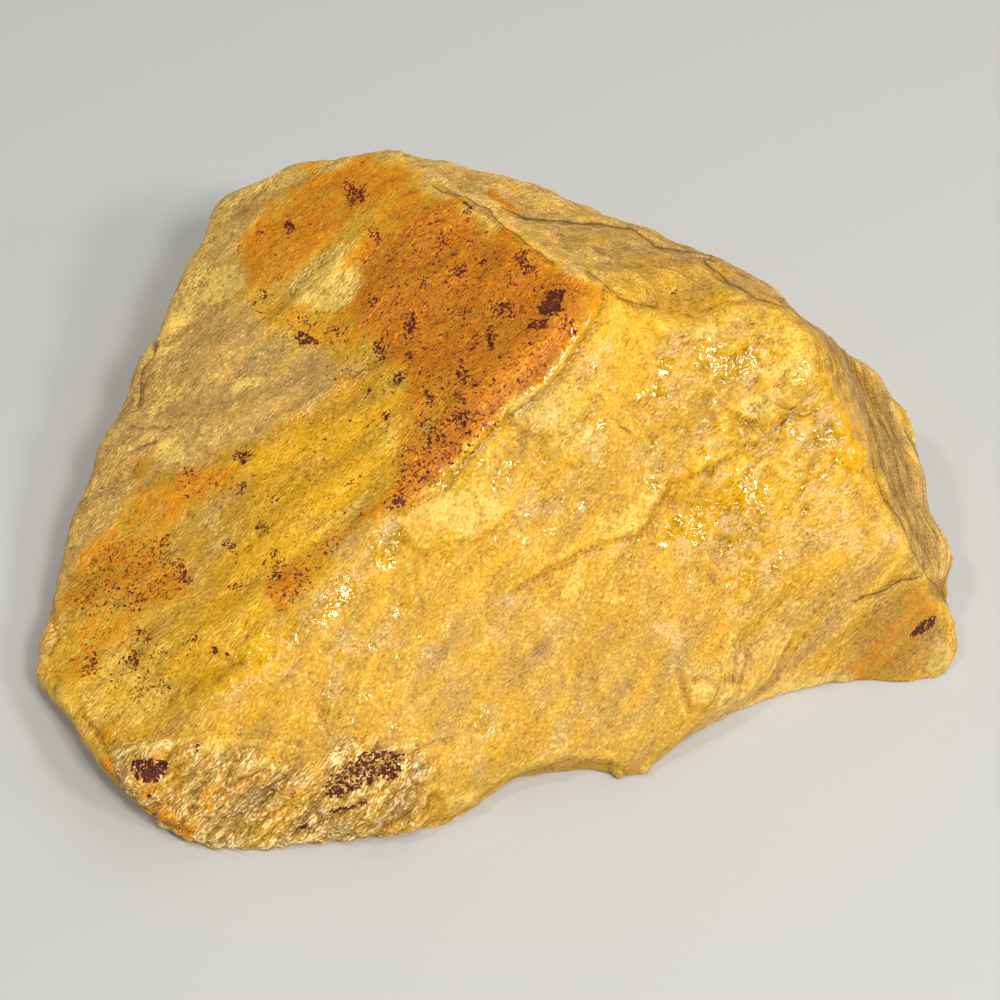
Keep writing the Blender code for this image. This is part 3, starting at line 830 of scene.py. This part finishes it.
# Markings wander off their outlines by this much, in lumps of two sizes. Crusts and cracks wander less.
WANDER_SIZES = (7.0, 2.4)
WANDER_REACH = (1.3, 0.6)
CRISP_SHARE = 0.6
CRACK_REACH = 1.5
CLUSTER_GAIN = 1.35
CLUSTER_FADE = 1.25
CREST_STAND = 0.06

skin, outward = read_skin()
fabric = skin @ FABRIC.T
plate_x, plate_y, seen = on_plate(skin, outward)
marked_x = plate_x
marked_y = plate_y
for size, reach in zip(WANDER_SIZES, WANDER_REACH):
    marked_x = marked_x + reach / UNIT_MM * ripple(skin, size, (1.0, 2.0, 3.0))
    marked_y = marked_y + reach / UNIT_MM * ripple(skin, size, (6.0, 5.0, 4.0))

crisp_x = CRISP_SHARE * plate_x + (1 - CRISP_SHARE) * marked_x
crisp_y = CRISP_SHARE * plate_y + (1 - CRISP_SHARE) * marked_y
texture, striated = roughened(marked_x, marked_y, seen)
edge_on = cut_across_layers(outward)

# The sides that the sighting doesn't see have no outlines, so the stains lie on them by chance.
SEAM_SIZES = (22.0, 14.0, 3.0)
BLOTCH_SIZE = 13.0
HONEY_SIZES = (26.0, 18.0, 7.0)
PALE_SIZES = (15.0, 9.0, 4.0)

seams = ripple(fabric, SEAM_SIZES, (2.0, 2.0, 2.0))
blotches = ripple(skin, BLOTCH_SIZE, (8.0, 1.0, 5.0))
hidden_rust = np.clip(0.10 + 0.55 * (seams * 0.6 + blotches * 0.7), 0.0, 0.8)
hidden_honey = np.clip(0.40 + 0.35 * ripple(fabric, HONEY_SIZES, (3.0, 9.0, 1.0)), 0.0, 1.0)
hidden_pale = np.clip(0.10 + 0.5 * ripple(fabric, PALE_SIZES, (7.0, 7.0, 2.0)), 0.0, 0.8)
hidden_specks = np.clip(0.10 + 0.7 * blotches * seams, 0.0, 0.6)


def clustered(level, clusters, gain):
    """Raise the level to each cluster's strength within its radius, and let it fade just beyond."""
    for x, y, radius, strength in sum(clusters.values(), []):
        away = np.hypot(marked_x - x, marked_y - y) * UNIT_MM
        cover = np.clip(CLUSTER_FADE - (away / radius) ** 2, 0.0, 1.0) * seen
        level = np.maximum(level, gain * strength * cover)
    return level


rust = painted(hidden_rust * (1 - seen), RUST, marked_x, marked_y, seen)
honey = painted(hidden_honey + (0.72 - hidden_honey) * seen, HONEY, marked_x, marked_y, seen)
pale = painted(hidden_pale * (1 - seen), PALE, marked_x, marked_y, seen)
specks = painted(hidden_specks * (1 - seen), SPECKS, marked_x, marked_y, seen)
specks = clustered(specks, SPECK_CLUSTERS, CLUSTER_GAIN)
crusts = painted(0.0, CRUSTS, crisp_x, crisp_y, seen)
# Browner, darker places: painted shade on the sides turned from the light, and browning elsewhere.
browned_and_shaded = painted(0.30 * (1 - seen), BROWNED_AND_SHADED, marked_x, marked_y, seen)
crack = np.zeros(len(skin))
beside = np.full(len(skin), 9.0)
for depth, darkness, path in CRACKS.values():
    away, side = beside_path(path, crisp_x, crisp_y)
    beside = np.where(away < np.abs(beside), away * side, beside)
    crack = np.maximum(crack, darkness * np.clip(1.25 - away / CRACK_REACH, 0.0, 1.0) * seen)
water = painted(0.10 + 0.05 * seen, WATER, marked_x, marked_y, seen)
drops = clustered(np.zeros(len(skin)), DROPS, 1.0)
stray = smooth_step(ripple(skin, STRAY_SIZE, (2.0, 9.0, 5.0)), 0.55, 0.80)
drops = np.maximum(drops, stray * smooth_step(water, 0.30, 0.45) * seen)
for half_width, strength, path in DROP_ROWS.values():
    away = beside_path(path, plate_x, plate_y)[0]
    drops = np.maximum(drops, strength * np.clip(1.3 - away / half_width, 0.0, 1.0) * seen)

# How proud each point stands of its neighbours, so that crests and hollows can be told apart. The material
# paints light on the crests and shade in the hollows from it.
edges = np.empty(len(stone.data.edges) * 2, int)
stone.data.edges.foreach_get("vertices", edges)
starts, ends = edges.reshape(-1, 2).T
neighbours = np.bincount(edges, minlength=len(skin))
around = np.zeros_like(skin)
for axis in range(3):
    around[:, axis] += np.bincount(starts, skin[ends, axis], len(skin))
    around[:, axis] += np.bincount(ends, skin[starts, axis], len(skin))
stand = ((skin - around / neighbours[:, None]) * outward).sum(axis=1)
for smoothing in range(2):
    gathered = np.bincount(starts, stand[ends], len(skin)) + np.bincount(ends, stand[starts], len(skin))
    stand = 0.5 * stand + 0.5 * gathered / neighbours
crest = np.clip(0.5 + stand / CREST_STAND, 0.0, 1.0)


def billowed(points, *lumps):
    """Return noise in lumps of several sizes, each with its seed and half as strong as the one before."""
    return sum(ripple(points, sizes, seed) / 2 ** rank for rank, (sizes, seed) in enumerate(lumps))


# Soft clouds, streaks along the fabric, and a field whose zero is where the hairlines run.
clouds = billowed(skin, (4.5, (2.7, 0.3, 6.1)), (2.1, (1.1, 4.4, 0.9)))
sweep = billowed(fabric, ((15.0, 3.2, 2.0), (4.1, 6.6, 2.2)), ((7.0, 1.7, 1.5), (0.2, 8.8, 5.3)))
hairs = billowed(skin, (9.0, (7.7, 2.3, 0.4)), (4.2, (3.9, 9.1, 6.2)), (2.0, (5.4, 0.6, 8.3)))

MARKS = {
    "clouds": clouds,
    "sweep": sweep,
    "hairs": hairs,
    "browned_and_shaded": browned_and_shaded,
    "foot": painted(0.0, COARSE_RIBS, marked_x, marked_y, seen),
    "rust": rust,
    "honey": honey,
    "pale": pale,
    "specks": specks,
    "crust": crusts,
    "water": water,
    "crack": crack,
    "beside": beside,
    "drops": drops,
    "crest": crest,
    "striated": striated * edge_on ** 2,
    "texture": texture,
}
for name, values in MARKS.items():
    carried = stone.data.attributes.new(name, "FLOAT", "POINT")
    carried.data.foreach_set("value", values.astype(np.float32))


class Strand:
    """An output socket of a material. A sum done on it adds the Math nodes of that sum."""

    def __init__(self, tree, socket):
        self.tree = tree
        self.socket = socket

    def node(self, kind, settings, sockets, output=0):
        """Add a node, give it its settings and then its values and links, and return one of its outputs."""
        made = self.tree.nodes.new(kind)
        for name, value in settings.items():
            setattr(made, name, value)
        for name, value in sockets.items():
            if isinstance(value, Strand):
                self.tree.links.new(value.socket, made.inputs[name])
            else:
                made.inputs[name].default_value = value
        return Strand(self.tree, made.outputs[output])

    def sum(self, operation, first, second):
        """Add the Math node of one operation."""
        return self.node("ShaderNodeMath", {"operation": operation}, {0: first, 1: second})

    def __add__(self, other):
        return self.sum("ADD", self, other)

    def __radd__(self, other):
        return self.sum("ADD", other, self)

    def __sub__(self, other):
        return self.sum("SUBTRACT", self, other)

    def __rsub__(self, other):
        return self.sum("SUBTRACT", other, self)

    def __mul__(self, other):
        return self.sum("MULTIPLY", self, other)

    def __rmul__(self, other):
        return self.sum("MULTIPLY", other, self)

    def __abs__(self):
        return self.sum("ABSOLUTE", self, 0)

    def or_more(self, other):
        """Return the greater of the two."""
        return self.sum("MAXIMUM", self, other)

    def climb(self, low, high):
        """Climb smoothly from 0 at low to 1 at high."""
        return self.node(
            "ShaderNodeMapRange",
            {"interpolation_type": "SMOOTHSTEP"},
            {"Value": self, "From Min": low, "From Max": high},
        )


def pigment(red, green, blue):
    """Return a display colour, counted from 0 to 255, as the shader's linear colour."""
    parts = [value / 255 for value in (red, green, blue)]
    linear = [part / 12.92 if part <= 0.04045 else ((part + 0.055) / 1.055) ** 2.4 for part in parts]
    return (*linear, 1.0)


TAN = pigment(206, 160, 82)
OLIVE_TAN = pigment(184, 145, 78)
HONEY_YELLOW = pigment(214, 160, 34)
GOLD = pigment(236, 174, 12)
CREAM = pigment(244, 204, 98)
# The foot's sugary grain, and painted light on its crests.
SUGAR_AND_HIGHLIGHT_WHITE = pigment(246, 226, 182)
# Painted shade in creases and hollows, and the colour of the hairlines.
SHADE_AND_HAIRLINE_BROWN = pigment(148, 92, 14)
# Browning, and painted shade on the sides turned from the light.
UMBER = pigment(140, 98, 40)
# Painted shade in the stain's creases and hollows.
CRACK_BROWN = pigment(104, 58, 14)
RUST_LIGHT = pigment(220, 147, 10)
RUST_CORE = pigment(200, 114, 2)
RUST_SHADE_BROWN = pigment(140, 66, 4)
IRON_RED = pigment(140, 44, 12)
MAROON = pigment(70, 24, 16)

finish = bpy.data.materials.new("wet_stained_quartzite")
finish.use_nodes = True
tree = finish.node_tree
shader = tree.nodes["Principled BSDF"]
coordinates = Strand(tree, tree.nodes.new("ShaderNodeTexCoord").outputs["Object"])
place = coordinates.node("ShaderNodeVectorMath", {"operation": "SCALE"}, {0: coordinates, "Scale": 1 / MM})


def along(direction):
    """Return how far each point of the surface lies along a direction of the fabric."""
    return place.node("ShaderNodeVectorMath", {"operation": "DOT_PRODUCT"}, {0: place, 1: direction}, "Value")


grain_place = place.node(
    "ShaderNodeCombineXYZ", {}, {"X": along(STRETCH), "Y": along(CROSS_STRETCH), "Z": along(LAYER_POLE)}
)


def mottle(origin, sizes, detail, roughness, seed, twist=0.0):
    """Return noise from about -1 to 1, in lumps of these sizes in millimetres."""
    scaled = origin.node(
        "ShaderNodeVectorMath",
        {"operation": "MULTIPLY_ADD"},
        {0: origin, 1: tuple(1 / size for size in sizes), 2: (seed, seed, seed)},
    )
    settings = {"Vector": scaled, "Scale": 1.0, "Detail": detail, "Roughness": roughness, "Distortion": twist}
    return (origin.node("ShaderNodeTexNoise", {}, settings) - 0.5) * 3.0


def mark(name):
    """Return one of the marks that the skin carries."""
    return place.node("ShaderNodeAttribute", {"attribute_name": name}, {}, "Fac")


def laid(under, over, share):
    """Lay one colour over another by a share."""
    settings = {"data_type": "RGBA", "clamp_factor": True}
    return place.node("ShaderNodeMix", settings, {0: share, 6: under, 7: over}, 2)


# The fine grain, in millimetres along the stretching, across it and through the layers: folds with creases
# between them, smaller scales, the layers' edges and sugar. Ragged noise and flecks have no direction.
CREASE_SIZES = (2.6, 1.0, 0.9)
SCALE_SIZES = (1.1, 0.45, 0.40)
STRATA_SIZES = (14.0, 6.0, 0.50)
SUGAR_SIZES = (0.55, 0.28, 0.28)
RAGGED_SIZES = (1.1, 1.1, 1.1)
FLECK_SIZES = (0.58, 0.58, 0.58)
FLECK_TWIST = 0.9


def creased(waves):
    """Turn waves into rounded folds with sharp creases where they cross zero, about 0 on average."""
    return abs(waves) * 1.6 - 0.42


clouds = mark("clouds")
sweep = mark("sweep")
texture = mark("texture") * (1 + clouds * 0.5)
folds = creased(mottle(grain_place, CREASE_SIZES, 1.0, 0.6, 1.3)) * texture
scales = creased(mottle(grain_place, SCALE_SIZES, 0.0, 0.5, 4.4)) * texture
strata = mottle(grain_place, STRATA_SIZES, 1.0, 0.7, 2.9) * mark("striated")
sugar = mottle(grain_place, SUGAR_SIZES, 0.0, 0.5, 6.2)
ragged = mottle(place, RAGGED_SIZES, 1.0, 0.85, 5.5)
flecks = mottle(place, FLECK_SIZES, 1.0, 0.7, 8.8, FLECK_TWIST)
# Painted light on the crests and painted shade in the hollows.
crest_light_and_hollow_shade = (mark("crest") - 0.5) * 0.7
# The tone: the grain's folds, scales, sugar and layer edges, with the crests and hollows. Its highs are laid
# on as painted light and its lows as painted shade.
tone = folds * 0.50 + scales * 0.55 + sugar * 0.48 + strata + ragged * 0.20 + crest_light_and_hollow_shade

# The ground: tan where the rock is dry, honey where it glows, cream on lobes, and cream on crests and brown in
# creases, which is painted light and painted shade laid over the grain's own tone.
warmth = mark("honey") + sweep * 0.20 - clouds * 0.15 + ragged * 0.12
ground = laid(OLIVE_TAN, TAN, warmth.climb(-0.3, 0.25))
ground = laid(ground, HONEY_YELLOW, warmth.climb(0.15, 0.75))
ground = laid(ground, GOLD, warmth.climb(0.70, 1.20))
lobes = mark("pale") + clouds * 0.16 + ragged * 0.30 + tone * 0.10
ground = laid(ground, CREAM, lobes.climb(0.25, 0.85) * 0.85)
film = (mark("water") + clouds * 0.40 + ragged * 0.25).climb(0.45, 0.75)
# Cream where the tone is high: painted light on crests and folds.
ground = laid(ground, CREAM, tone.climb(0.0, 0.8) * (0.66 - film * 0.30))
# Brown where the tone is low: painted shade in creases and hollows.
ground = laid(ground, SHADE_AND_HAIRLINE_BROWN, (0 - tone).climb(0.05, 0.80) * 0.60)
# White on the foot where the tone is high: its sugary grain, with painted light on its crests.
ground = laid(ground, SUGAR_AND_HIGHLIGHT_WHITE, tone.climb(0.1, 0.9) * mark("foot") * 0.60)

# The iron stain: it soaks in unevenly, strongest where the layers held water.
soak = mark("rust") + sweep * 0.16 + ragged * 0.38 + clouds * 0.12 + tone * 0.18
stain = laid(RUST_LIGHT, RUST_CORE, soak.climb(0.40, 1.0))
# Painted shade in the stain's creases and hollows, and painted light on its crests.
stain = laid(stain, RUST_SHADE_BROWN, (0 - tone).climb(0.05, 0.8) * 0.72)
stain = laid(stain, RUST_LIGHT, tone.climb(0.05, 0.7) * 0.80)
stained = laid(ground, stain, soak.climb(0.32, 0.60) * 0.95)
# Umber laid on as painted shade on the sides turned from the light, and as browning elsewhere.
stained = laid(stained, UMBER, mark("browned_and_shaded") * 0.40)

# The dark iron grains in small branching clusters, the crusts, the cracks and the hairlines.
specks = mark("specks")
iron = (flecks + specks * 0.78 - 0.85) * specks.climb(0.02, 0.15)
stained = laid(stained, IRON_RED, iron.climb(0.0, 0.05) * 0.85)
stained = laid(stained, MAROON, iron.climb(0.10, 0.24) * 0.92)
crust_cover = flecks * 1.15 + ragged * 0.4 + mark("crust") * 1.60 - 1.08
stained = laid(stained, IRON_RED, crust_cover.climb(0.0, 0.08) * 0.90)
stained = laid(stained, MAROON, crust_cover.climb(0.10, 0.30) * 0.92)
parted = 1 - (abs(mark("beside") + ragged * 0.12) * 5.0 - mark("crack") * 0.8 + 0.2).climb(0.0, 0.8)
hair = ((1 - abs(mark("hairs")) * 16).climb(0.0, 0.9) * 0.6 + ragged * 0.3 - clouds * 0.3).climb(0.40, 0.75)
stained = laid(stained, SHADE_AND_HAIRLINE_BROWN, hair * 0.30)
stained = laid(stained, CRACK_BROWN, parted * mark("crack") * 0.95)

# Painted light on crests and painted shade in creases and hollows, through the tone; clouds and streaks vary
# the brightness at random; painted shade, with browning, darkens the browned and shaded places; and wet places
# are darker.
shade = clouds * texture * 0.20 + sweep * (texture * 0.10 + 0.06)
value = 1 + tone * 0.34 + shade - mark("browned_and_shaded") * 0.16 - film * 0.08
finished = place.node("ShaderNodeVectorMath", {"operation": "SCALE"}, {0: stained, "Scale": value})
tree.links.new(finished.socket, shader.inputs["Base Color"])

# The water: a drop is nearly a mirror and the film around it is a dull one. Its surface hides the grain and
# swells into beads, so low that their slopes throw small glints instead of one broad shine.
DRY_ROUGHNESS = 0.58
WET_ROUGHNESS = 0.05
GLOSS = 0.34
FOLD_RELIEF = 0.10
SCALE_RELIEF = 0.09
BEAD_SIZES = (1.5, 1.5, 1.5)
BEAD_TWIST = 0.8
FILM_BEAD_HEIGHT = 0.03
DROP_BEAD_HEIGHT = 0.085

drop = (mark("drops") + clouds * 0.12 + ragged * 0.42).climb(0.22, 0.72)
wet = (film * 0.55).or_more(drop)
roughness = DRY_ROUGHNESS - wet * (DRY_ROUGHNESS - WET_ROUGHNESS)
tree.links.new(roughness.socket, shader.inputs["Roughness"])
shader.inputs["Specular IOR Level"].default_value = GLOSS

beads = mottle(place, BEAD_SIZES, 1.0, 0.4, 9.4, BEAD_TWIST)
dry_height = (folds * FOLD_RELIEF + scales * SCALE_RELIEF) * (1 - film * 0.4) * (1 - drop * 0.95)
height = dry_height + beads * (film * FILM_BEAD_HEIGHT + drop * DROP_BEAD_HEIGHT)
bump = height.node("ShaderNodeBump", {}, {"Height": height, "Distance": MM, "Strength": 1.0}, "Normal")
tree.links.new(bump.socket, shader.inputs["Normal"])

stone.data.materials.clear()
stone.data.materials.append(finish)
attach(stone, "root")
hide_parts("aventurine_stone")


# ---------------------------------------------------------------------------------- the floor and the lights
# A plain pale floor of matt card. The lump is lit softly from the front right, by smaller lights that strike
# glints from the water, and by a weak broad light behind it, inside an even pale surround.
FLOOR_SIDE = 4.0
FLOOR_GREY = pigment(199, 198, 194)
FLOOR_ROUGHNESS = 0.7
SURROUND_WHITE = (1.0, 0.98, 0.95, 1.0)
SURROUND_STRENGTH = 0.21

bpy.ops.object.select_all(action="DESELECT")
bpy.ops.mesh.primitive_plane_add(size=FLOOR_SIDE)
floor = bpy.context.object
floor.name = "floor"
floor_finish = bpy.data.materials.new("pale_floor")
floor_finish.use_nodes = True
floor_shader = floor_finish.node_tree.nodes["Principled BSDF"]
floor_shader.inputs["Base Color"].default_value = FLOOR_GREY
floor_shader.inputs["Roughness"].default_value = FLOOR_ROUGHNESS
floor.data.materials.append(floor_finish)

# Lights as (bearing, elevation, distance in metres, side in metres, watts).
LIGHTS = {
    "soft_key": (303.0, 52.0, 0.9, 0.15, 3.3),
    "right": (326.0, 40.0, 0.9, 0.11, 2.0),
    "high": (282.0, 72.0, 0.9, 0.08, 1.2),
    "left": (196.0, 62.0, 0.9, 0.08, 1.2),
    "low_right": (344.0, 31.0, 0.9, 0.07, 0.5),
    "back_fill": (60.0, 50.0, 1.1, 0.8, 2.2),
}
for name, (bearing, elevation, distance, side, watts) in LIGHTS.items():
    direction = facing(bearing, 90.0 - elevation)
    bpy.ops.object.light_add(type="AREA", location=direction * distance)
    light = bpy.context.object
    light.name = name
    light.rotation_euler = direction.to_track_quat("Z", "Y").to_euler()
    light.data.size = side
    light.data.energy = watts

surround = bpy.data.worlds.new("pale_surround")
surround.use_nodes = True
backdrop = surround.node_tree.nodes["Background"]
backdrop.inputs["Color"].default_value = SURROUND_WHITE
backdrop.inputs["Strength"].default_value = SURROUND_STRENGTH
bpy.context.scene.world = surround
bpy.context.scene.view_settings.view_transform = "Standard"
